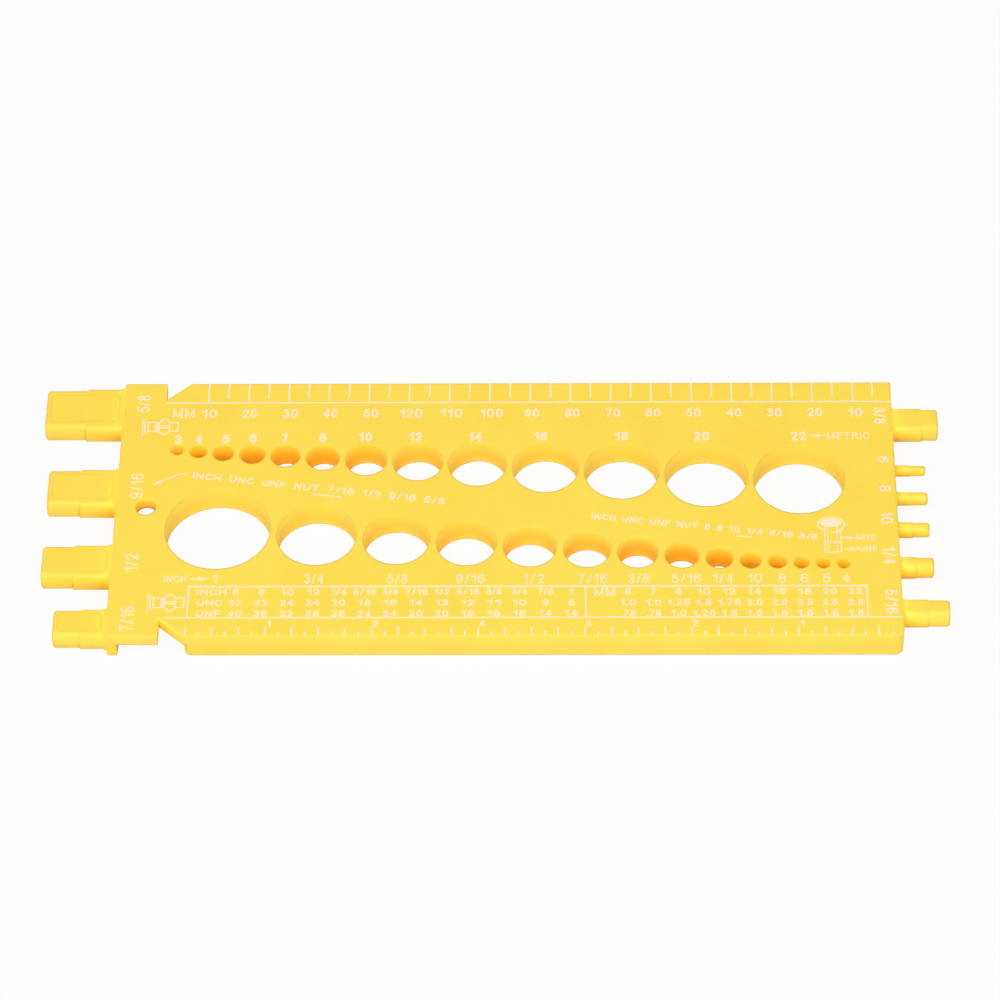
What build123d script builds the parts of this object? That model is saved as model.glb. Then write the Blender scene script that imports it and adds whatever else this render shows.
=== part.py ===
"""Bolt and nut thread gauge: one moulding with a cored underside.

All sizes are in millimetres, and +Z is up. The origin is on the standing
plane, under the middle of the overall length and width.
"""

import os

from build123d import *

# Plate and its skin
plate_length = 179.6
plate_width = 81.9
thickness = 7.1
skin = 3.2
near_corner = 2.0
far_corner = 0.8
edge_bevel = 0.3

# Flange on the left, with its own full-depth wall
flange_width = 11.05
flange_wall = 2.65
flange_corner = 0.7

# Notches where each ruler starts, measured from the left end of the mm scale
far_notch_at = -0.6
near_notch_at = 1.5
notch_width = 6.1
notch_depth = 5.5

# Rim and ring bosses under the skin
rim_wall = 2.5
rim_start = 7.6
rim_corner = 1.8
ring_wall = 2.0
inner_round = 1.0

# Rows of holes, each between two end margins and beside a strip along its long edge
inch = 25.4
hole_clearance = 0.25
left_margin = plate_length / 120
metric_right_margin = 0.0696 * plate_length
inch_right_margin = 0.0675 * plate_length
far_strip = 20.6
near_strip = 21.1

# Metric sizes, each with how far its hole reaches into the far strip
metric_sizes = [
    (3, 0.0),
    (4, 0.0),
    (5, 0.0),
    (6, 0.0),
    (7, 0.0),
    (8, -0.1),
    (10, 0.15),
    (12, 0.4),
    (14, 0.6),
    (16, 0.5),
    (18, 0.3),
    (20, -0.2),
    (22, -0.55),
]

# Inch sizes, each with how far its hole stands above the near strip
inch_sizes = [
    (1.0, 0.0),
    (3 / 4, 1.2),
    (5 / 8, 1.4),
    (9 / 16, 1.0),
    (1 / 2, 0.6),
    (7 / 16, 0.4),
    (3 / 8, 0.2),
    (5 / 16, 0.1),
    (1 / 4, 0.0),
    (0.190, 0.0),
    (0.164, 0.0),
    (0.138, 0.0),
    (0.125, 0.0),
    (0.112, 0.0),
]
hang_hole = 5.0
hang_hole_in = 3.55

# Posts: minor diameters of the fine and the coarse nut, place, length, shoulder.
# The place is from the near edge, or from the far edge where it is negative.
# The foot of a post slopes up to its wall, over a longer way at the flange.
nut_clearance = 0.1
post_height = 5.5
post_edge = 1.2
root_bevel = 0.45
flange_ramp = 1.0
tip_bevel = 0.45
left_posts = [
    (14.35, 13.39, -7.6, 19.35, 9.3),
    (12.75, 11.99, 48.35, 17.1, 9.1),
    (11.33, 10.59, 24.55, 16.9, 9.1),
    (9.73, 9.14, 5.2, 12.8, 6.3),
]
right_posts = [
    (8.38, 7.80, -11.5, 11.3, 7.2),
    (2.82, 2.64, 55.3, 7.6, 4.0),
    (3.40, 3.30, 46.2, 7.75, 3.9),
    (3.96, 3.68, 36.1, 7.7, 3.6),
    (5.36, 4.98, 24.05, 8.2, 3.8),
    (6.78, 6.40, 9.7, 11.3, 6.0),
]

left_reach = flange_width + max(post[3] for post in left_posts)
right_reach = plate_length + max(post[3] for post in right_posts)
middle_x = (right_reach - left_reach) / 2
middle_y = plate_width / 2


def at(x, y):
    """Turn a place on the mm scale and above the near edge into the part's frame."""
    return (x - middle_x, y - middle_y)


def hole_row(diameters, right_margin):
    """Give each hole's radius and x, with equal webs filling the row."""
    bores = [diameter + hole_clearance for diameter in diameters]
    row_length = plate_length - left_margin - right_margin
    web = (row_length - sum(bores)) / (len(bores) - 1)
    row = []
    x = left_margin
    for bore in bores:
        row.append((bore / 2, x + bore / 2))
        x += bore + web
    return row


metric_holes = []
metric_row = hole_row([size for size, lift in metric_sizes], metric_right_margin)
for (radius, x), (size, lift) in zip(metric_row, metric_sizes):
    metric_holes.append((radius, x, plate_width - far_strip + lift - radius))

inch_holes = []
inch_row = hole_row([size * inch for size, lift in inch_sizes], inch_right_margin)
for (radius, x), (size, lift) in zip(inch_row, inch_sizes):
    inch_holes.append((radius, x, near_strip + lift + radius))

holes = metric_holes + inch_holes


def post_y(place):
    """Turn a post's place into its distance from the near edge."""
    return place if place > 0 else plate_width + place


def post_section(plane, diameter):
    """Sketch a circle cut by the two flats, with the flats' edges rounded."""
    with BuildSketch(plane) as section:
        Circle(diameter / 2)
        if diameter > post_height:
            Rectangle(post_height, diameter, mode=Mode.INTERSECT)
            half_flat = (diameter**2 - post_height**2) ** 0.5 / 2
            fillet(section.vertices(), min(post_edge, half_flat / 2))
    return section.sketch


def stepped_post(root_x, side, fine, coarse, place, length, shoulder):
    """Build one post: a fine-thread shoulder at the wall, a coarse-thread end."""
    middle = at(root_x, post_y(place))
    root = Plane(origin=(*middle, thickness / 2), x_dir=(0, 0, 1), z_dir=(side, 0, 0))
    inside = root.offset(-flange_wall / 2)
    step = root.offset(shoulder)
    with BuildPart() as post:
        extrude(post_section(inside, fine - nut_clearance), amount=flange_wall / 2 + shoulder)
        extrude(post_section(step, coarse - nut_clearance), amount=length - shoulder)
        tip = post.faces().sort_by(Axis.X)[-1 if side > 0 else 0]
        chamfer(tip.edges(), tip_bevel)
    return post.part


with BuildSketch(Plane.XY.offset(thickness - skin)) as top_outline:
    with BuildLine():
        Polyline(
            at(-flange_width, 0),
            at(near_notch_at, 0),
            at(near_notch_at, notch_depth),
            at(near_notch_at + notch_width, 0),
            at(plate_length, 0),
            at(plate_length, plate_width),
            at(far_notch_at + notch_width, plate_width),
            at(far_notch_at, plate_width - notch_depth),
            at(far_notch_at, plate_width),
            at(-flange_width, plate_width),
            close=True,
        )
    make_face()
    right_end = top_outline.vertices().group_by(Axis.X)[-1].sort_by(Axis.Y)
    fillet(right_end[0], near_corner)
    fillet(right_end[-1], far_corner)
    left_end = top_outline.vertices().group_by(Axis.X)[0]
    fillet(left_end, flange_corner)

with BuildSketch() as rim:
    with BuildLine():
        Polyline(
            at(rim_start, 0),
            at(plate_length, 0),
            at(plate_length, plate_width),
            at(rim_start, plate_width),
            close=True,
        )
    make_face()
    rim_right = rim.vertices().group_by(Axis.X)[-1].sort_by(Axis.Y)
    fillet(rim_right[0], near_corner)
    fillet(rim_right[-1], far_corner)
    rim_left = rim.vertices().group_by(Axis.X)[0]
    fillet(rim_left, rim_corner)
    with Locations(at((rim_start + plate_length) / 2, middle_y)):
        RectangleRounded(
            plate_length - rim_start - 2 * rim_wall,
            plate_width - 2 * rim_wall,
            inner_round,
            mode=Mode.SUBTRACT,
        )

with BuildSketch() as left_wall:
    with Locations(at(flange_wall / 2 - flange_width, middle_y)):
        RectangleRounded(flange_wall, plate_width, flange_corner)

with BuildSketch() as rings:
    for radius, x, y in holes:
        with Locations(at(x, y)):
            Circle(radius + ring_wall)

with BuildSketch() as bores:
    for radius, x, y in holes:
        with Locations(at(x, y)):
            Circle(radius)
    with Locations(at(-hang_hole_in, middle_y)):
        Circle(hang_hole / 2)

with BuildPart() as gauge:
    add(top_outline.sketch)
    extrude(amount=skin)
    top_face = gauge.faces().sort_by(Axis.Z)[-1]
    chamfer(top_face.outer_wire().edges(), edge_bevel)
    add(rim.sketch)
    add(left_wall.sketch)
    add(rings.sketch)
    extrude(amount=thickness - skin)
    add(bores.sketch)
    extrude(amount=thickness, mode=Mode.SUBTRACT)
    for post in left_posts:
        add(stepped_post(-flange_width, -1, *post))
    for post in right_posts:
        add(stepped_post(plate_length, 1, *post))
    for along, ramp in ((-flange_width, flange_ramp), (plate_length, root_bevel)):
        wall_x = at(along, 0)[0]
        x_faces = gauge.faces().filter_by(Axis.X)
        wall = x_faces.filter_by_position(Axis.X, wall_x - edge_bevel, wall_x + edge_bevel)[0]
        inner_edges = wall.edges().filter_by_position(Axis.Z, root_bevel, thickness - root_bevel)
        foot_edges = inner_edges.filter_by(Axis.Z, reverse=True)
        chamfer(foot_edges, root_bevel, ramp, reference=wall)

gauge.part.label = "gauge"
print("gauge", gauge.part.volume, gauge.part.bounding_box())
os.makedirs("parts", exist_ok=True)
export_step(gauge.part, "parts/gauge.step")
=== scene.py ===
# %% [markdown]
# # A bolt and nut thread gauge
#
# The real gauge is one thin plate of yellow plastic. A bolt is pushed through
# its holes to find the bolt's size, and a nut is pushed over the stepped posts
# at its two ends. The plate, the holes and the posts come from the CAD model,
# so this script adds what the CAD leaves out: the plastic's finish, the pale
# print, the light and the camera.
#
# The first step loads the CAD model, and a helper measures a part's box.

# %% Load the CAD model
import itertools
import math

import bmesh
import bpy
from mathutils import Matrix, Vector


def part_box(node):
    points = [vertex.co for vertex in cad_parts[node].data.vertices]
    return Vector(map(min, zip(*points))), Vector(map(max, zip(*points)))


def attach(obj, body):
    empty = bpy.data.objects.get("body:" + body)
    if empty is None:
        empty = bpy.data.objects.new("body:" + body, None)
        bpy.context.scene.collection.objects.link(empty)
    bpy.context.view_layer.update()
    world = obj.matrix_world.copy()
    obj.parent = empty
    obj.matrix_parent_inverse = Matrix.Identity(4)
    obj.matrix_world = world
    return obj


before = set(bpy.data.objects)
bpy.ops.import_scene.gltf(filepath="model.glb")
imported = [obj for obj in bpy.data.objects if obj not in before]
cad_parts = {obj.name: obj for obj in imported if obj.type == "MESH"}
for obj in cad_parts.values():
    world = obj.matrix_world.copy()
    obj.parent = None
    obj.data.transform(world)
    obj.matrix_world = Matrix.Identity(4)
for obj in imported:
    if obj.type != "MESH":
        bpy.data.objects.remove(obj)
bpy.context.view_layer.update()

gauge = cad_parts["gauge"]
print("gauge:", len(gauge.data.polygons), "faces")

# %% [markdown]
# ## Where things are on the plate
#
# The printed millimetre scale runs along the plate, so its zero is a handy
# origin. Every printed thing below is placed with two numbers: millimetres
# along that scale, and millimetres from the plate's near edge. One function
# turns such a place into Blender's metres, on top of the plate, so that the
# rest of the script can keep to numbers that a ruler would give.

# %% Places on the plate
MM = 0.001
flange_width = 11.05
longest_left_post = 19.35
plate_length = 179.6
plate_width = 81.9

low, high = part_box("gauge")
scale_zero = low.x + (longest_left_post + flange_width) * MM
near_edge = low.y
plate_top = high.z


def on_plate(along, across, above=0.0):
    """Turn a place on the plate, in millimetres, into a point in metres."""
    return Vector((scale_zero + along * MM, near_edge + across * MM, plate_top + above * MM))


print("scale zero at", on_plate(0, 0), "and the far corner at", on_plate(plate_length, plate_width))

# %% [markdown]
# ## The camera
#
# The photograph was taken with a long lens, a little over a metre away and
# looking down at about 49 degrees, so the plate hardly narrows with distance.
# A constraint could aim the camera, but it would keep it level, and this one
# is rolled by a degree or so. So it is built from its angles: a forward
# direction, then the right and up directions square to it, turned a little
# about the line of sight.

# %% Camera
camera_height_angle = math.radians(48.83)
camera_side_angle = math.radians(-1.63)
camera_roll = math.radians(-1.34)
camera_distance = 1158.1 * MM
camera_target = Vector((2.606, 2.048, 7.1)) * MM

forward = Vector((
    math.sin(camera_side_angle) * math.cos(camera_height_angle),
    math.cos(camera_side_angle) * math.cos(camera_height_angle),
    -math.sin(camera_height_angle),
))
level_right = Vector((math.cos(camera_side_angle), -math.sin(camera_side_angle), 0.0))
level_up = level_right.cross(forward)
right = level_right * math.cos(camera_roll) + level_up * math.sin(camera_roll)
up = level_up * math.cos(camera_roll) - level_right * math.sin(camera_roll)

camera_data = bpy.data.cameras.new("photo_camera")
camera_data.sensor_width = 36.0
camera_data.lens = 170.87
camera_data.clip_start = 0.05
camera_data.clip_end = 20.0
camera = bpy.data.objects.new("photo_camera", camera_data)
turn = Matrix((right, up, -forward)).transposed().to_4x4()
camera.matrix_world = Matrix.Translation(camera_target - forward * camera_distance) @ turn
bpy.context.scene.collection.objects.link(camera)
bpy.context.scene.camera = camera
print("camera at", camera.matrix_world.translation)

# %% [markdown]
# ## Helpers for materials
#
# Colours are written as hex values, as a picture editor shows them. A shader
# works with linear light, so one function converts them. Another adds a shader
# node with its settings and its links in a single call, and a third starts a
# material with nothing in it, so that every node in it is one we chose.

# %% Material helpers
def linear(hex_colour):
    """Turn an sRGB hex colour into the linear values that a shader reads."""
    value = int(hex_colour.lstrip("#"), 16)
    channels = [(value >> shift & 255) / 255 for shift in (16, 8, 0)]
    bent = [c / 12.92 if c <= 0.04045 else ((c + 0.055) / 1.055) ** 2.4 for c in channels]
    return (*bent, 1.0)


def add_node(tree, kind, settings=None, links=None, **options):
    """Add one node: options of the node itself, values of its sockets, then links."""
    node = tree.nodes.new(kind)
    for name, value in options.items():
        setattr(node, name, value)
    for name, value in (settings or {}).items():
        node.inputs[name].default_value = value
    for name, source in (links or {}).items():
        tree.links.new(source, node.inputs[name])
    return node


def new_material(name):
    """Start a material with no nodes, and give its node tree."""
    material = bpy.data.materials.new(name)
    material.use_nodes = True
    material.node_tree.nodes.clear()
    return material, material.node_tree


print("a mid grey is", [round(c, 3) for c in linear("#808080")])

# %% [markdown]
# ## Moulded ABS: the pigment
#
# The plate is injection-moulded ABS, coloured through with a warm yellow
# pigment. One flat colour would look like paint. In a real moulding the
# pigment is not perfectly even, so a soft noise lets the yellow drift a little
# over a centimetre or so. Noise seldom leaves the range from 0.3 to 0.7, so
# that is the range which the two yellows are spread over.

# %% Yellow pigment
drift_size = 14.0
noise_low = 0.3
noise_high = 0.7

abs_plastic, abs_tree = new_material("moulded_abs_yellow")
place = add_node(abs_tree, "ShaderNodeTexCoord")
drift = add_node(
    abs_tree, "ShaderNodeTexNoise",
    {"Scale": 1 / (drift_size * MM), "Detail": 3.0, "Roughness": 0.5},
    {"Vector": place.outputs["Object"]},
)
pigment = add_node(abs_tree, "ShaderNodeValToRGB", links={"Fac": drift.outputs["Fac"]})
pigment.color_ramp.elements[0].position = noise_low
pigment.color_ramp.elements[0].color = linear("#FED947")
pigment.color_ramp.elements[1].position = noise_high
pigment.color_ramp.elements[1].color = linear("#FFDE4F")
print("the yellow drifts over", drift_size, "mm")

# %% [markdown]
# ## Moulded ABS: painted amber shade
#
# Light travels some millimetres inside this plastic, and loses its blue and
# green on the way. That is why the wall of a hole turns to amber as it goes
# down, most of all in a small hole. Real scattering is slow to render, so the
# amber is painted shade, and two simple measures place it. An ambient
# occlusion node tells how enclosed a place is within nine millimetres, and
# its height tells how deep it lies, up to four and a half millimetres. The
# deeper and the more enclosed a place is, the more amber shade is painted
# into its colour.

# %% Painted amber shade in the holes
glow_reach = 9.0
glow_depth = 4.5
painted_amber_full = 0.62

openness = add_node(
    abs_tree, "ShaderNodeAmbientOcclusion", {"Distance": glow_reach * MM},
    samples=12, only_local=True,
)
enclosed = add_node(
    abs_tree, "ShaderNodeMapRange",
    {"From Min": painted_amber_full, "From Max": 1.0, "To Min": 1.0, "To Max": 0.0},
    {"Value": openness.outputs["AO"]},
)
height = add_node(abs_tree, "ShaderNodeSeparateXYZ", links={"Vector": place.outputs["Object"]})
depth = add_node(
    abs_tree, "ShaderNodeMapRange",
    {"From Min": plate_top - glow_depth * MM, "From Max": plate_top, "To Min": 1.0, "To Max": 0.0},
    {"Value": height.outputs["Z"]},
)
# Painted shade: deep, enclosed places get amber in their base colour
painted_amber = add_node(
    abs_tree, "ShaderNodeMath",
    links={0: enclosed.outputs["Result"], 1: depth.outputs["Result"]}, operation="MULTIPLY",
)
# The base colour is the pigment with the painted amber shade mixed in
body = add_node(
    abs_tree, "ShaderNodeMix", {"B": linear("#FFBF00")},
    {"Factor": painted_amber.outputs[0], "A": pigment.outputs["Color"]},
    data_type="RGBA",
)
print("amber is full", glow_depth, "mm down")

# %% [markdown]
# ## Moulded ABS: satin grain and soft edges
#
# The mould was fine-blasted, so the face is satin, not glossy: the light
# spreads into one even sheen with no sharp reflections. The blasted grain, a
# third of a millimetre wide, roughens the sheen and bumps the surface by a
# hair. Modelling it would take millions of faces, so it is noise and bump.
#
# A moulded edge is never quite sharp either. The bevel node bends the shading
# over the last 0.8 millimetres, and so each edge catches a little light.

# %% Satin grain and soft edges
grain_size = 0.35
edge_round = 0.8
satin_low = 0.54
satin_high = 0.66

grain = add_node(
    abs_tree, "ShaderNodeTexNoise",
    {"Scale": 1 / (grain_size * MM), "Detail": 2.0, "Roughness": 0.6},
    {"Vector": place.outputs["Object"]},
)
sheen = add_node(
    abs_tree, "ShaderNodeMapRange",
    {"From Min": noise_low, "From Max": noise_high, "To Min": satin_low, "To Max": satin_high},
    {"Value": grain.outputs["Fac"]},
)
soft_edges = add_node(
    abs_tree, "ShaderNodeBevel", {"Radius": edge_round * MM}, samples=6
)
blasted = add_node(
    abs_tree, "ShaderNodeBump",
    {"Strength": 0.12, "Distance": 0.02 * MM},
    {"Height": grain.outputs["Fac"], "Normal": soft_edges.outputs["Normal"]},
)
print("the grain is", grain_size, "mm and the edges are rounded by", edge_round, "mm")

# %% [markdown]
# ## Moulded ABS: painted glow at the rims
#
# Light that has entered through the top comes out again near it. So the wall
# of a hole is brightest at its rim, and the outer walls are a little brighter
# along their top. That light is painted: the plastic glows weakly in its own
# colour, though it is no lamp. The painted glow fades over the same four and a
# half millimetres. An enclosed place, as in a hole, gets all of it, an upright
# face in the open under half, and the open top none.

# %% Painted glow at the rims
glow_full = 0.92
painted_glow_at_rim = 0.26
outer_share = 0.42

covered = add_node(
    abs_tree, "ShaderNodeMapRange",
    {"From Min": glow_full, "From Max": 1.0, "To Min": 1.0, "To Max": 0.0},
    {"Value": openness.outputs["AO"]},
)
facing = add_node(
    abs_tree, "ShaderNodeSeparateXYZ", links={"Vector": soft_edges.outputs["Normal"]}
)
upright = add_node(
    abs_tree, "ShaderNodeMapRange", {"To Min": outer_share, "To Max": 0.0},
    {"Value": facing.outputs["Z"]},
)
glow_share = add_node(
    abs_tree, "ShaderNodeMath",
    links={0: covered.outputs["Result"], 1: upright.outputs["Result"]}, operation="MAXIMUM",
)
near_rim = add_node(
    abs_tree, "ShaderNodeMapRange", {"To Min": painted_glow_at_rim, "To Max": 0.0},
    {"Value": depth.outputs["Result"]},
)
# Painted light: the strength of the glow that the plastic gives off
painted_glow = add_node(
    abs_tree, "ShaderNodeMath",
    links={0: glow_share.outputs[0], 1: near_rim.outputs["Result"]}, operation="MULTIPLY",
)
print("the glow at a rim is", painted_glow_at_rim, "and", round(painted_glow_at_rim * outer_share, 3), "on an outer wall")

# %% [markdown]
# ## Moulded ABS: the finished plastic
#
# One principled shader takes all of this together. ABS has a refractive index
# of 1.53, which gives the faint white sheen that every plain plastic has.

# %% Moulded yellow ABS
# Its base colour holds the painted amber shade, and its emission the painted glow
plastic = add_node(
    abs_tree, "ShaderNodeBsdfPrincipled",
    {"IOR": 1.53, "Specular IOR Level": 0.5},
    {
        "Base Color": body.outputs["Result"],
        "Emission Color": body.outputs["Result"],
        "Emission Strength": painted_glow.outputs[0],
        "Roughness": sheen.outputs["Result"],
        "Normal": blasted.outputs["Normal"],
    },
)
add_node(abs_tree, "ShaderNodeOutputMaterial", links={"Surface": plastic.outputs["BSDF"]})

gauge.data.materials.clear()
gauge.data.materials.append(abs_plastic)
print("plastic on", gauge.name, "with", len(abs_tree.nodes), "nodes")

# %% [markdown]
# ## Pad-printed ink
#
# The scales and numbers are pad-printed: a soft silicone pad lifts cream-white
# ink from an engraved plate and presses it onto the plastic. The film is thin
# and dries matt, and it misses tiny spots, so a little yellow shows through it.
# A noise of half a millimetre, cut off low, gives those spots.

# %% Pad-printed cream ink
speck_size = 0.5

ink_film, ink_tree = new_material("pad_printed_ink_cream")
ink_place = add_node(ink_tree, "ShaderNodeTexCoord")
specks = add_node(
    ink_tree, "ShaderNodeTexNoise",
    {"Scale": 1 / (speck_size * MM), "Detail": 3.0, "Roughness": 0.65},
    {"Vector": ink_place.outputs["Object"]},
)
cover = add_node(ink_tree, "ShaderNodeValToRGB", links={"Fac": specks.outputs["Fac"]})
cover.color_ramp.elements[0].position = 0.30
cover.color_ramp.elements[0].color = linear("#FFE096")
cover.color_ramp.elements[1].position = 0.50
cover.color_ramp.elements[1].color = linear("#FFEBCC")
film = add_node(
    ink_tree, "ShaderNodeBsdfPrincipled",
    {"IOR": 1.5, "Roughness": 0.62, "Specular IOR Level": 0.3},
    {"Base Color": cover.outputs["Color"]},
)
add_node(ink_tree, "ShaderNodeOutputMaterial", links={"Surface": film.outputs["BSDF"]})
print("ink specks are", speck_size, "mm")

# %% [markdown]
# ## Slabs of ink
#
# Print could be painted by the plastic's own material, but then no one could
# pick it up, move it or export it. Here each printed thing is a real, very
# thin slab: it starts a hundredth of a millimetre inside the plate and stands
# two to four hundredths above it, so it never flickers against the plate.
# Where two slabs cross, faces at one height would flicker too, so each new
# slab is a thousandth of a millimetre higher than the last, over 23 heights.

# %% Patches of ink
ink_sunk = 0.01
lowest_ink = 0.016
ink_step = 0.001
ink_layers = 23
ink_heights = itertools.cycle([lowest_ink + ink_step * n for n in range(ink_layers)])


def patch(ink, corners):
    """Raise a slab of ink from its corners, given in order round its edge."""
    height = next(ink_heights)
    foot = [ink.verts.new(on_plate(x, y, -ink_sunk)) for x, y in corners]
    top = [ink.verts.new(on_plate(x, y, height)) for x, y in corners]
    ink.faces.new(foot[::-1])
    ink.faces.new(top)
    for i in range(len(corners)):
        j = (i + 1) % len(corners)
        ink.faces.new((foot[i], foot[j], top[j], top[i]))


print("ink stands", lowest_ink, "to", lowest_ink + ink_step * (ink_layers - 1), "mm high")

# %% [markdown]
# ## Strokes of ink
#
# Nearly all of the print is lines of an even width: ticks, frames, arrows, and
# numbers too. A curve object with a bevel would give round cords, not flat
# ink, so one helper builds the strokes. It walks along a path and sets a point
# to the left and to the right of each place. At a bend the two points move out
# along the bisector, which keeps the stroke's width. They move half as far
# again at most, or a very sharp bend would end in a long spike.

# %% Strokes
longest_mitre = 1.5


def side_steps(path, width, closed):
    """Give, at each place of a path, the step to the stroke's left edge."""
    steps = []
    for i, here in enumerate(path):
        runs = []
        if closed or i > 0:
            runs.append((here - path[i - 1]).normalized())
        if closed or i < len(path) - 1:
            runs.append((path[(i + 1) % len(path)] - here).normalized())
        along = sum(runs, Vector((0.0, 0.0))).normalized()
        stretch = 1 / max(along.dot(runs[0]), 1 / longest_mitre)
        steps.append(Vector((-along.y, along.x)) * stretch * width / 2)
    return steps


def stroke(ink, places, width, closed=False, level=0.0):
    """Draw a stroke along places, with square ends or as a closed ring, at a level."""
    path = [Vector(place) for place in places]
    if not closed:
        path[0] = path[0] + (path[0] - path[1]).normalized() * width / 2
        path[-1] = path[-1] + (path[-1] - path[-2]).normalized() * width / 2
    steps = side_steps(path, width, closed)
    height = next(ink_heights)
    edges = []
    for hand, above in ((1, -ink_sunk), (1, height), (-1, height), (-1, -ink_sunk)):
        edge = [here + step * hand for here, step in zip(path, steps)]
        edges.append([ink.verts.new(on_plate(*point, level + above)) for point in edge])
    for i in range(len(path) if closed else len(path) - 1):
        j = (i + 1) % len(path)
        for one, other in zip(edges, edges[1:] + edges[:1]):
            ink.faces.new((one[i], one[j], other[j], other[i]))
    if not closed:
        ink.faces.new([edge[0] for edge in edges])
        ink.faces.new([edge[-1] for edge in edges])


square_bend = [Vector((0, 0)), Vector((1, 0)), Vector((1, 1))]
print("at a square bend the edge is", round(side_steps(square_bend, 2, False)[1].length, 3), "out")

# %% [markdown]
# ## Arrows, and pieces of print
#
# An arrow is a stroke with a filled triangle at its end. When all the strokes
# of one printed thing are drawn, they become one piece. Its faces are turned
# outward, it gets the ink, and it rides on the gauge, so that it moves with it.

# %% Arrows and pieces
def arrow(ink, places, width, head):
    """Draw a stroke that ends in a filled head, twice as long as it is wide."""
    last = Vector(places[-2])
    tip = Vector(places[-1])
    along = (tip - last).normalized()
    side = Vector((-along.y, along.x)) * head / 4
    neck = tip - along * head
    stroke(ink, [*places[:-1], neck], width)
    patch(ink, [neck - side, tip, neck + side])


def print_on_gauge(ink, name, material=ink_film):
    """Turn the gathered strokes into one piece that rides on the gauge."""
    bmesh.ops.recalc_face_normals(ink, faces=ink.faces)
    mesh = bpy.data.meshes.new(name)
    ink.to_mesh(mesh)
    ink.free()
    mesh.materials.append(material)
    piece = bpy.data.objects.new(name, mesh)
    bpy.context.scene.collection.objects.link(piece)
    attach(piece, "root")
    print(name, len(mesh.polygons), "faces")


# %% [markdown]
# ## Drawing numbers with strokes
#
# The printed numbers are a plain sans serif: one stroke width, round bowls and
# a flag on the 1. Blender's own font has another 1, and stretching a font
# makes its upright strokes thicker than its flat ones. So each sign is drawn
# here from a few strokes, in a box that is one capital high. A bowl is part of
# an ellipse. The strokes are placed first and thickened afterwards, so their
# width stays the same however long the label is.

# %% The shapes of the signs
bowl_step = 24


def bowl(x, y, across, up, start, end):
    """Give places along part of an ellipse, between two angles in degrees."""
    count = max(2, round(abs(end - start) / bowl_step))
    turns = [math.radians(start + (end - start) * i / count) for i in range(count + 1)]
    return [(x + across * math.cos(t), y + up * math.sin(t)) for t in turns]


zero = bowl(0.28, 0.69, 0.28, 0.31, 0, 180) + bowl(0.28, 0.31, 0.28, 0.31, 180, 360)
six = [
    bowl(0.29, 0.31, 0.27, 0.31, 0, 360),
    bowl(0.31, 0.66, 0.29, 0.34, 35, 180) + [(0.02, 0.31)],
]
signs = {
    "0": [zero + zero[:1]],
    "1": [[(0.34, 0.0), (0.34, 1.0)], [(0.34, 0.98), (0.22, 0.84), (0.06, 0.76)]],
    "2": [bowl(0.28, 0.72, 0.26, 0.28, 165, -35) + [(0.22, 0.24), (0.02, 0.0), (0.56, 0.0)]],
    "3": [bowl(0.27, 0.76, 0.23, 0.24, 160, -90), bowl(0.27, 0.27, 0.28, 0.27, 90, -160)],
    "4": [[(0.43, 0.0), (0.43, 1.0)], [(0.43, 0.98), (0.0, 0.31), (0.6, 0.31)]],
    "5": [[(0.52, 1.0), (0.12, 1.0), (0.06, 0.52)], bowl(0.28, 0.32, 0.28, 0.32, 142, -160)],
    "6": six,
    "7": [[(0.0, 1.0), (0.56, 1.0), (0.34, 0.55), (0.2, 0.0)]],
    "8": [bowl(0.28, 0.76, 0.23, 0.24, 0, 360), bowl(0.28, 0.27, 0.28, 0.27, 0, 360)],
    "9": [[(0.58 - x, 1.0 - y) for x, y in part] for part in six],
    "/": [[(0.0, 0.0), (0.3, 1.0)]],
    ".": [[(0.04, 0.0), (0.05, 0.0)]],
    "C": [bowl(0.36, 0.5, 0.36, 0.5, 45, 315)],
    "E": [[(0.56, 1.0), (0.0, 1.0), (0.0, 0.0), (0.56, 0.0)], [(0.0, 0.52), (0.5, 0.52)]],
    "F": [[(0.52, 1.0), (0.0, 1.0), (0.0, 0.0)], [(0.0, 0.52), (0.44, 0.52)]],
    "H": [[(0.0, 0.0), (0.0, 1.0)], [(0.62, 0.0), (0.62, 1.0)], [(0.0, 0.52), (0.62, 0.52)]],
    "I": [[(0.0, 0.0), (0.0, 1.0)]],
    "M": [
        [(0.0, 0.0), (0.0, 1.0)],
        [(0.0, 1.0), (0.36, 0.0), (0.72, 1.0)],
        [(0.72, 1.0), (0.72, 0.0)],
    ],
    "N": [[(0.0, 0.0), (0.0, 1.0)], [(0.0, 1.0), (0.62, 0.0)], [(0.62, 0.0), (0.62, 1.0)]],
    "R": [
        [(0.0, 0.0), (0.0, 1.0)],
        [(0.34, 0.52), (0.62, 0.0)],
        [(0.0, 1.0)] + bowl(0.36, 0.76, 0.22, 0.24, 90, -90) + [(0.0, 0.52)],
    ],
    "T": [[(0.0, 1.0), (0.62, 1.0)], [(0.31, 1.0), (0.31, 0.0)]],
    "U": [[(0.0, 1.0)] + bowl(0.3, 0.32, 0.3, 0.32, 180, 360) + [(0.6, 1.0)]],
}
print("signs:", " ".join(signs))

# %% [markdown]
# ## Setting a label
#
# A label is measured before it is drawn. The strokes keep their width, so only
# the room between them stretches, and one division gives how much: the length
# that is left after the strokes, shared over the signs and the gaps. A part of
# a sign that ends where it starts, such as an 8's bowl, becomes a closed ring.

# %% Lettering helpers
sign_gap = 0.2
word_gap = 0.35
same_place = 0.001


def line_up(words):
    """Set the signs of a label side by side: each sign's start, and the room they take."""
    starts = []
    cursor = 0.0
    for sign in words:
        if sign == " ":
            cursor += word_gap
            continue
        across = [px for part in signs[sign] for px, py in part]
        starts.append((sign, cursor - min(across)))
        cursor += max(across) - min(across) + sign_gap
    return starts, cursor - sign_gap


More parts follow.
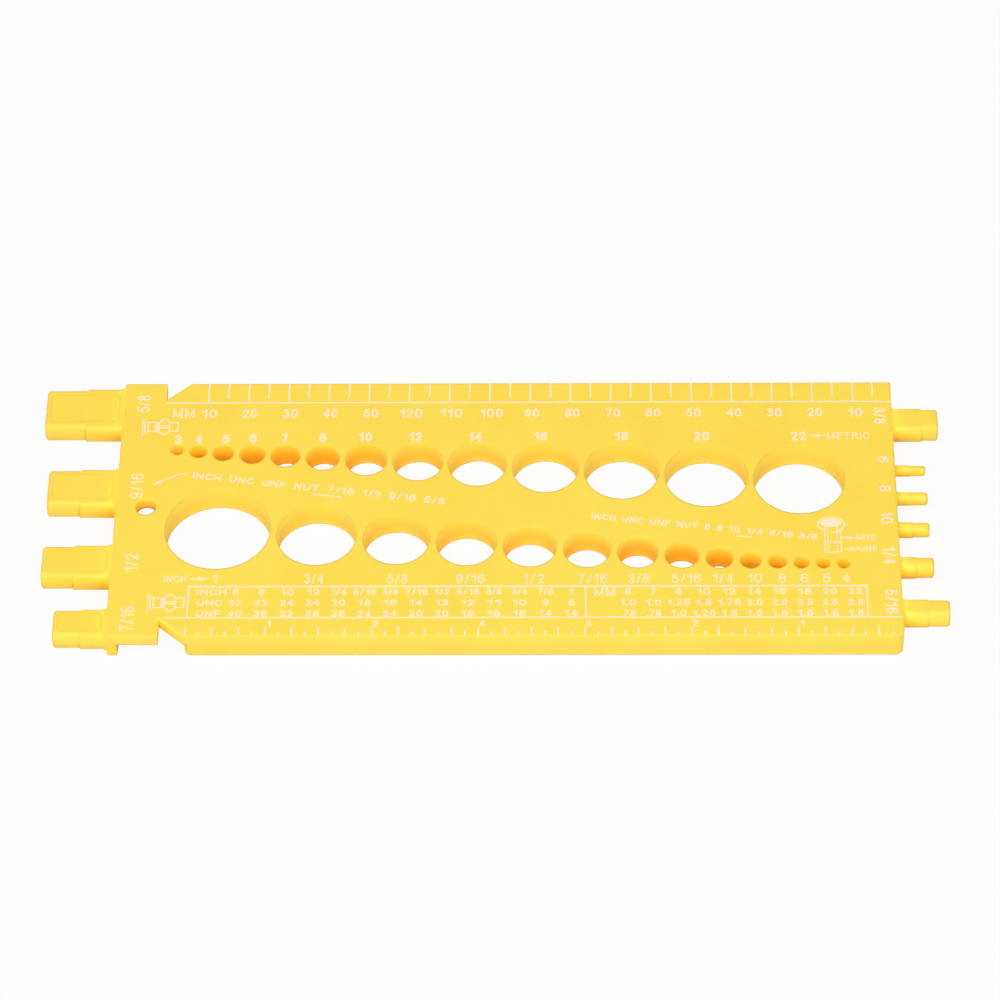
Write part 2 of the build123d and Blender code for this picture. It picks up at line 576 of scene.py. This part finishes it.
def letter(ink, words, x, y, height, length, weight, turned=0.0):
    """Print words centred on a place, with strokes of one weight, turned by some degrees.

    With a length of None, the label has its natural length.
    """
    starts, room = line_up(words)
    tall = height - weight
    inked = len(starts) * weight
    stretch = (length - inked) / (room * tall) if length else 1.0
    whole = room * tall * stretch + inked
    cos = math.cos(math.radians(turned))
    sin = math.sin(math.radians(turned))
    for passed, (sign, start) in enumerate(starts):
        for part in signs[sign]:
            places = []
            for px, py in part:
                right_by = (start + px) * tall * stretch + (passed + 0.5) * weight - whole / 2
                up_by = (py - 0.5) * tall
                places.append((x + right_by * cos - up_by * sin, y + right_by * sin + up_by * cos))
            ring = math.dist(part[0], part[-1]) < same_place
            stroke(ink, places[:-1] if ring else places, weight, closed=ring)


print("9/16 is", round(line_up("9/16")[1], 2), "times as long as it is tall, before its strokes")

# %% [markdown]
# ## The millimetre scale
#
# Along the far edge runs a scale with a long tick at every centimetre and a
# shorter one halfway. An array modifier could repeat one tick, but a loop says
# the same with the centimetre in it, and the whole scale is one piece.

# %% Millimetre scale
hair = 0.42
base_line = 75.25
tick_top = 81.5
long_tick_foot = 75.4
short_tick_foot = 77.1

mm_scale = bmesh.new()
stroke(mm_scale, [(-0.4, base_line), (179.4, base_line)], hair)
for foot, past_centimetre in ((long_tick_foot, 0), (short_tick_foot, 5)):
    for centimetre in range(1, 18):
        x = 10 * centimetre + past_centimetre
        stroke(mm_scale, [(x, foot), (x, tick_top)], hair)
print_on_gauge(mm_scale, "millimetre_scale")

# %% [markdown]
# ## The millimetre numbers
#
# They climb from 10 to 50 at the left, and then run down from 120 to 10 at the
# right, so a bolt can be measured from either end. Each is stretched to the
# length that the printed ones have, and its middle stands half a millimetre to
# the right of its tick.

# %% Millimetre numbers
mm_number_height = 2.85
mm_number_middle = 71.65
mm_number_shift = 0.5
mm_number_weight = 0.5
printed = [10, 20, 30, 40, 50, 120, 110, 100, 90, 80, 70, 60, 50, 40, 30, 20, 10]

mm_numbers = bmesh.new()
for centimetre, number in enumerate(printed, start=1):
    x = 10 * centimetre + mm_number_shift
    length = 5.5 if number >= 100 else 3.6
    letter(mm_numbers, str(number), x, mm_number_middle, mm_number_height, length, mm_number_weight)
letter(mm_numbers, "MM", 4.05, 71.8, 3.0, 5.35, 0.45)
print_on_gauge(mm_numbers, "millimetre_numbers")

# %% [markdown]
# ## The inch scale
#
# The near edge carries inches in eighths: the even ones have a long tick, the
# odd ones a short one, and the notch takes the place of the first two. It is
# made as the millimetre scale is, with a loop over the eighths. Its base line
# is also the foot of the thread table.

# %% Inch scale
inch_zero = 1.71
eighth = 3.183
eighths = range(2, 56)
inch_line = 5.75
inch_tick_foot = 0.4
even_tick_top = 2.6
odd_tick_top = 1.25

inch_scale = bmesh.new()
stroke(inch_scale, [(3.0, inch_line), (179.1, inch_line)], hair)
for n in eighths:
    x = inch_zero + n * eighth
    top = even_tick_top if n % 2 == 0 else odd_tick_top
    stroke(inch_scale, [(x, inch_tick_foot), (x, top)], hair)
print_on_gauge(inch_scale, "inch_scale")

# %% [markdown]
# ## The inch numbers
#
# One number stands at each whole inch, just right of its tick. They climb from
# 1 to 2 at the left, and run down from 4 to 1 at the right. They are small, so
# their strokes are thinner too, and they need no stretching.

# %% Inch numbers
inch_number_height = 2.0
inch_number_middle = 3.85
inch_number_shift = 0.9
small_weight = 0.4

inch_numbers = bmesh.new()
for inches, number in enumerate([1, 2, 4, 3, 2, 1], start=1):
    x = inch_zero + 8 * inches * eighth + inch_number_shift
    letter(inch_numbers, str(number), x, inch_number_middle, inch_number_height, None, small_weight)
print_on_gauge(inch_numbers, "inch_numbers")

# %% [markdown]
# ## Numbers over the metric holes
#
# Each hole has its bolt size beside it, so that the user reads the size where
# the bolt goes in. The metric row is numbered above the holes, with an arrow
# from the unit's name. A list gives each size and its place, because the holes
# are not evenly spaced. The row of numbers rises a little over its first part.

# %% Metric hole numbers
metric_labels = [
    (3, 3.2), (4, 8.2), (5, 14.9), (6, 21.7), (7, 29.5), (8, 38.9), (10, 49.4),
    (12, 61.8), (14, 76.6), (16, 92.7), (18, 112.7), (20, 132.35), (22, 156.3),
]
metric_row_start = 63.0
metric_row_rise = 0.8
rise_length = 50

metric_numbers = bmesh.new()
for size, x in metric_labels:
    y = metric_row_start + metric_row_rise * min(x, rise_length) / rise_length
    length = 3.8 if size >= 20 else 3.2 if size >= 10 else 1.9
    label_height = 3.15 if size >= 20 else 2.9
    letter(metric_numbers, str(size), x, y, label_height, length, 0.6)
arrow(metric_numbers, [(162.6, 63.95), (159.0, 63.95)], hair, 2.4)
letter(metric_numbers, "METRIC", 168.5, 63.85, 2.3, 10.5, 0.3)
print_on_gauge(metric_numbers, "metric_hole_numbers")

# %% [markdown]
# ## Numbers under the inch holes
#
# The inch row is numbered below the holes, in thinner strokes, with an arrow
# from the unit's name too. Fractions differ in length, so a list gives each
# label, its place and its length.

# %% Inch hole numbers
inch_labels = [
    ("1", 14.5, None), ("3/4", 38.35, 4.7), ("5/8", 58.45, 4.9), ("9/16", 75.95, 6.9),
    ("1/2", 91.3, 5.0), ("7/16", 105.35, 7.2), ("3/8", 116.5, 5.0), ("5/16", 127.9, 7.0),
    ("1/4", 136.75, 4.9), ("10", 144.4, 3.25), ("8", 151.0, 1.9), ("6", 156.3, 1.9),
    ("5", 161.6, 1.9), ("4", 166.4, 1.9),
]
inch_label_height = 2.85
inch_label_middle = 17.9
light_weight = 0.37

fraction_labels = bmesh.new()
for words, x, length in inch_labels:
    letter(fraction_labels, words, x, inch_label_middle, inch_label_height, length, light_weight)
arrow(fraction_labels, [(8.8, 17.95), (13.0, 17.95)], hair, 2.6)
letter(fraction_labels, "INCH", 4.85, 18.0, 2.1, 5.5, 0.3)
print_on_gauge(fraction_labels, "inch_hole_numbers")

# %% [markdown]
# ## The lines of the thread table
#
# Below the inch holes is a small table. A line along its top, one at each end
# and one between its halves are four strokes, and the inch scale's base line
# closes it below.

# %% Thread table lines
table_top = 15.5
table_left = 8.3
table_middle = 103.75
table_right = 171.1

table_lines = bmesh.new()
stroke(table_lines, [(table_left - 0.2, table_top), (table_right + 0.2, table_top)], 0.5)
for x in (table_left, table_middle, table_right):
    stroke(table_lines, [(x, inch_line), (x, table_top)], hair)
print_on_gauge(table_lines, "thread_table_lines")

# %% [markdown]
# ## The numbers of the thread table
#
# For each bolt size the table gives the number of threads to the inch, or the
# thread spacing in millimetres, in a coarse and a fine series. These are
# standard values. The columns are evenly spaced, so each half needs only its
# first place and one step, and the length of a label follows from its signs.

# %% Thread table numbers
rows = [13.8, 10.4, 7.05]
row_heads = [("INCH", 13.9, 7.2), ("UNC", 13.5, 6.0), ("UNF", 13.4, 5.8)]
inch_columns = [
    ("6", "32", "40"), ("8", "32", "36"), ("10", "24", "32"), ("12", "24", "28"),
    ("1/4", "20", "28"), ("5/16", "18", "24"), ("3/8", "16", "24"), ("7/16", "14", "20"),
    ("1/2", "13", "20"), ("9/16", "12", "18"), ("5/8", "11", "18"), ("3/4", "10", "16"),
    ("7/8", "9", "14"), ("1", "8", "14"),
]
metric_columns = [
    ("6", "1.0", ".75"), ("7", "1.0", ".75"), ("8", "1.25", "1.0"), ("10", "1.5", "1.25"),
    ("12", "1.75", "1.5"), ("14", "2.0", "1.5"), ("16", "2.0", "1.5"), ("18", "2.5", "1.5"),
    ("20", "2.5", "1.5"), ("22", "2.5", "1.5"),
]
lengths_by_signs = {1: 1.45, 2: 3.2, 3: 3.6, 4: 5.4}
table_height = 2.0

table_numbers = bmesh.new()
for (words, x, length), y in zip(row_heads, rows):
    letter(table_numbers, words, x, y, table_height, length, small_weight)
letter(table_numbers, "MM", 108.3, 13.7, 2.7, 5.0, 0.45)
for first, step, columns in ((19.7, 6.2, inch_columns), (113.9, 6.05, metric_columns)):
    for n, column in enumerate(columns):
        for words, y in zip(column, rows):
            length = lengths_by_signs[len(words)] if words != "1" else None
            letter(table_numbers, words, first + n * step, y, table_height, length, small_weight)
print_on_gauge(table_numbers, "thread_table_numbers")

# %% [markdown]
# ## Numbers beside the posts
#
# Each post has its nut size printed on the plate beside it, turned to read
# along the plate's short side. The label helper takes a turn in degrees, so
# the left ones are turned one way and the right ones the other.

# %% Post numbers
left_post_labels = [
    ("5/8", -6.05, 75.0, 5.7), ("9/16", -6.2, 47.8, 8.2),
    ("1/2", -6.0, 23.2, 5.5), ("7/16", -6.0, 5.45, 7.7),
]
right_post_labels = [
    ("3/8", 176.5, 70.5, 5.4), ("6", 176.8, 56.0, 2.0), ("8", 176.8, 46.5, 2.0),
    ("10", 176.9, 37.1, 3.8), ("1/4", 177.0, 25.0, 5.4), ("5/16", 176.9, 10.5, 7.5),
]

post_numbers = bmesh.new()
for words, x, y, length in left_post_labels:
    letter(post_numbers, words, x, y, 3.2, length, 0.42, 90)
for words, x, y, length in right_post_labels:
    letter(post_numbers, words, x, y, 3.0, length, 0.5, -90)
print_on_gauge(post_numbers, "post_numbers")

# %% [markdown]
# ## Lists of nut sizes
#
# The holes shrink along each row, which leaves two slanting strips of bare
# plate between the rows. Each strip holds a plain list of the nut sizes of the
# posts at its end, with one size underlined, and a bent arrow points from the
# upper list to its posts. The slope of a list comes from its two ends.

# %% Lists of nut sizes
thin = 0.38


def slanting_letters(ink, words, start, end, height):
    """Print words so that they fill a slanting line from start to end."""
    run = Vector(end) - Vector(start)
    middle = (Vector(start) + Vector(end)) / 2
    slope = math.degrees(math.atan2(run.y, run.x))
    letter(ink, words, *middle, height, run.length, thin, slope)


upper_list = "INCH  UNC  UNF  NUT  7/16  1/2  9/16  5/8"
lower_list = "INCH  UNC  UNF  NUT  6  8  10  1/4  5/16  3/8"
nut_lists = bmesh.new()
slanting_letters(nut_lists, upper_list, (7.4, 51.2), (69.4, 42.6), 2.1)
slanting_letters(nut_lists, lower_list, (105.2, 37.8), (159.8, 30.9), 1.9)
stroke(nut_lists, [(37.0, 45.0), (43.9, 44.05)], thin)
stroke(nut_lists, [(140.4, 31.35), (143.75, 30.95)], thin)
arrow(nut_lists, [(6.0, 51.75), (3.9, 51.6), (-2.5, 47.95)], thin, 2.6)
print_on_gauge(nut_lists, "nut_size_lists")

# %% [markdown]
# ## The picture of a bolt
#
# A pan-head bolt is drawn at the right, standing on its end, with an arrow to
# each of its thread series. It is an outline, so it is a handful of strokes,
# and the head is filled with one patch.

# %% Picture of a bolt
fine_line = 0.36
core_line = 0.2

pictures = bmesh.new()
stroke(pictures, bowl(163.3, 35.0, 3.25, 2.3, -62, 242), fine_line)
patch(pictures, bowl(163.25, 35.45, 2.6, 1.35, 0, 340))
stroke(pictures, [(161.65, 34.4), (164.9, 34.4)], fine_line)
stroke(pictures, [(161.65, 34.4), (161.65, 26.1), (165.45, 26.1), (165.45, 33.0)], fine_line)
stroke(pictures, [(163.4, 32.5), (165.3, 32.5)], fine_line)
stroke(pictures, [(161.8, 29.3), (165.3, 29.3)], fine_line)
stroke(pictures, [(162.4, 34.0), (162.4, 26.3)], core_line)
stroke(pictures, [(164.5, 34.2), (164.5, 26.3)], core_line)
arrow(pictures, [(169.1, 30.6), (165.8, 30.6)], fine_line, 2.2)
arrow(pictures, [(169.7, 27.1), (166.1, 27.1)], fine_line, 2.4)
letter(pictures, "UNC", 171.65, 30.9, 1.7, 4.6, 0.3)
letter(pictures, "UNF", 172.0, 27.2, 1.7, 4.4, 0.3)
print("the bolt is", len(pictures.faces), "faces so far")

# %% [markdown]
# ## The pictures of a screw and its nut
#
# A countersunk screw that has passed through a hexagon nut is drawn at the
# left of each row of holes. The two are alike, so one function draws either
# from its left end, and with the bolt they make one piece.

# %% Pictures of screws and nuts
def screw_and_nut(ink, x, y):
    """Draw a countersunk screw that has passed through a hexagon nut."""
    head = [(1.4, -1.5), (0.0, -2.75), (0.0, 2.75), (1.4, 1.5)]
    head_line = [(0.55, -1.6), (0.55, 1.6)]
    shank = [(1.4, -1.5), (3.35, -1.5), (3.35, 1.5), (1.4, 1.5)]
    nut_face = [(3.75, -1.5), (3.75, 1.5)]
    hexagon = [(4.1, -1.55), (5.35, -2.75), (6.7, -1.55), (6.7, 1.55), (5.35, 2.75), (4.1, 1.55)]
    low_flat = [(4.25, -0.35), (6.55, -0.35)]
    high_flat = [(4.25, 0.35), (6.55, 0.35)]
    end = [(6.9, -1.5), (8.75, -1.5), (8.75, 1.5), (6.9, 1.5)]
    for part in (head, head_line, shank, nut_face, hexagon, low_flat, high_flat, end):
        places = [(x + px, y + py) for px, py in part]
        stroke(ink, places, fine_line, closed=part in (shank, hexagon))


screw_and_nut(pictures, -5.95, 67.25)
screw_and_nut(pictures, -1.35, 10.45)
print_on_gauge(pictures, "bolt_and_nut_pictures")

# %% [markdown]
# ## The painted shade of a witness line
#
# Each flat of the big posts was formed by a steel insert in the mould. Where
# an insert ends, a fine witness line stays on the plastic. It is a shallow
# groove, and less light gets in, so it looks a shade deeper than the face. The
# CAD mesh is never cut here, so that shade is painted: the line gets a material
# of its own, the same satin plastic in a deeper yellow.

# %% Painted shade of a witness line
# Painted shade: a deeper yellow stands for the shade in the groove
groove_shade, groove_tree = new_material("moulded_abs_painted_shade_witness_line")
groove_place = add_node(groove_tree, "ShaderNodeTexCoord")
groove_grain = add_node(
    groove_tree, "ShaderNodeTexNoise",
    {"Scale": 1 / (grain_size * MM), "Detail": 2.0, "Roughness": 0.6},
    {"Vector": groove_place.outputs["Object"]},
)
shade = add_node(groove_tree, "ShaderNodeValToRGB", links={"Fac": groove_grain.outputs["Fac"]})
shade.color_ramp.elements[0].position = noise_low
shade.color_ramp.elements[0].color = linear("#F3CF40")
shade.color_ramp.elements[1].position = noise_high
shade.color_ramp.elements[1].color = linear("#F8D548")
groove = add_node(
    groove_tree, "ShaderNodeBsdfPrincipled",
    {"IOR": 1.53, "Roughness": 0.6},
    {"Base Color": shade.outputs["Color"]},
)
add_node(groove_tree, "ShaderNodeOutputMaterial", links={"Surface": groove.outputs["BSDF"]})
print("the witness line has", len(groove_tree.nodes), "nodes")

# %% [markdown]
# ## Witness lines of painted shade on the big posts
#
# Here the line is a rounded frame of painted shade round each flat, a little
# way in from the flat's edges. The stroke helper draws it as a closed ring, at
# the level of the flats, which lie 0.8 millimetres lower than the plate's top.

# %% Painted-shade witness lines
flat_drop = 0.8
line_inset = 1.15
line_corner = 1.2
line_width = 0.3

# Each big post: its length, its middle, and half the width of its frame across
big_posts = [(19.35, 74.3, 4.4), (17.1, 48.35, 3.9), (16.9, 24.55, 3.35), (12.8, 5.2, 2.8)]

painted_shade_witness_lines = bmesh.new()
for post_length, middle, half_frame in big_posts:
    wall_end = -flange_width - line_inset - line_corner
    tip_end = -flange_width - post_length + line_inset + line_corner
    rise = half_frame - line_corner
    corners = [(wall_end, rise), (tip_end, rise), (tip_end, -rise), (wall_end, -rise)]
    frame_line = []
    for n, (x, y) in enumerate(corners):
        frame_line += bowl(x, middle + y, line_corner, line_corner, 90 * n, 90 * n + 90)
    # Each frame is a stroke of painted groove shade
    stroke(painted_shade_witness_lines, frame_line, line_width, closed=True, level=-flat_drop)
print_on_gauge(painted_shade_witness_lines, "post_painted_shade_witness_lines", groove_shade)

# %% [markdown]
# ## Floor
#
# The gauge was photographed and cut out onto pure white. A shadow catcher
# would need a second picture laid behind it, so the floor is a broad pale
# sheet. To the camera it is nearly all plain white light, with a small share
# of matt paint that still shows the soft shadow where the gauge stands. To
# every other ray it is matt paint, and sends a natural light back up. It lies
# a tenth of a millimetre low, so that it doesn't flicker against the gauge.

# %% Floor
floor_half = 3.0
floor_gap = 0.1 * MM
white_to_camera = 0.93

floor_mesh = bpy.data.meshes.new("floor")
floor_corners = [
    (-floor_half, -floor_half, 0), (floor_half, -floor_half, 0),
    (floor_half, floor_half, 0), (-floor_half, floor_half, 0),
]
floor_mesh.from_pydata(floor_corners, [], [(0, 1, 2, 3)])
floor = bpy.data.objects.new("floor", floor_mesh)
floor.location.z = -floor_gap
bpy.context.scene.collection.objects.link(floor)

floor_paint, floor_tree = new_material("matt_white_floor")
floor_rays = add_node(floor_tree, "ShaderNodeLightPath")
matt = add_node(floor_tree, "ShaderNodeBsdfDiffuse", {"Color": linear("#EBEBEB")})
white = add_node(floor_tree, "ShaderNodeEmission", {"Color": linear("#FFFFFF"), "Strength": 1.0})
white_share = add_node(
    floor_tree, "ShaderNodeMath", {1: white_to_camera}, {0: floor_rays.outputs["Is Camera Ray"]},
    operation="MULTIPLY",
)
both = add_node(
    floor_tree, "ShaderNodeMixShader",
    links={0: white_share.outputs[0], 1: matt.outputs["BSDF"], 2: white.outputs["Emission"]},
)
add_node(floor_tree, "ShaderNodeOutputMaterial", links={"Surface": both.outputs["Shader"]})
floor_mesh.materials.append(floor_paint)
print("floor", 2 * floor_half, "m wide")

# %% [markdown]
# ## The sky
#
# A white sky lights everything evenly. As light it is dim, because the lamp
# does most of the work, but to the camera and in reflections it is pure white,
# like the background of the photograph. The light path node tells the two
# apart.

# %% Sky
sky_level = 0.36
world = bpy.data.worlds.new("studio")
bpy.context.scene.world = world
world.use_nodes = True
sky_tree = world.node_tree
sky_tree.nodes.clear()
sky_rays = add_node(sky_tree, "ShaderNodeLightPath")
seen = add_node(
    sky_tree, "ShaderNodeMath",
    links={0: sky_rays.outputs["Is Camera Ray"], 1: sky_rays.outputs["Is Glossy Ray"]},
    operation="ADD",
)
sky_strength = add_node(
    sky_tree, "ShaderNodeMapRange", {"To Min": sky_level, "To Max": 1.0},
    {"Value": seen.outputs[0]},
)
sky = add_node(
    sky_tree, "ShaderNodeBackground", {"Color": linear("#FFFFFF")},
    {"Strength": sky_strength.outputs["Result"]},
)
add_node(sky_tree, "ShaderNodeOutputWorld", links={"Surface": sky.outputs["Background"]})
print("sky", sky_level)

# %% [markdown]
# ## The lamp
#
# One broad oval lamp stands high in front, a little to the left, and points at
# the gauge. It lights the top, the near wall and the far walls of the holes
# alike, at a level where a colour renders about as it is written, and its two
# ends reach the side walls of the holes. Several small lamps would do the
# same, but each would add its own shadow.

# %% Lamp
lamp_data = bpy.data.lights.new("soft_front_lamp", "AREA")
lamp_data.shape = "ELLIPSE"
lamp_data.size = 2.2
lamp_data.size_y = 0.9
lamp_data.energy = 18.8
lamp = bpy.data.objects.new("soft_front_lamp", lamp_data)
lamp.location = (-0.08, -0.70, 1.21)
lamp.rotation_mode = "QUATERNION"
lamp.rotation_quaternion = (-Vector(lamp.location)).to_track_quat("-Z", "Y")
bpy.context.scene.collection.objects.link(lamp)

view = bpy.context.scene.view_settings
view.view_transform = "Standard"
print("lamp", round(lamp_data.energy, 1), "W,", round(lamp.location.length, 2), "m away")
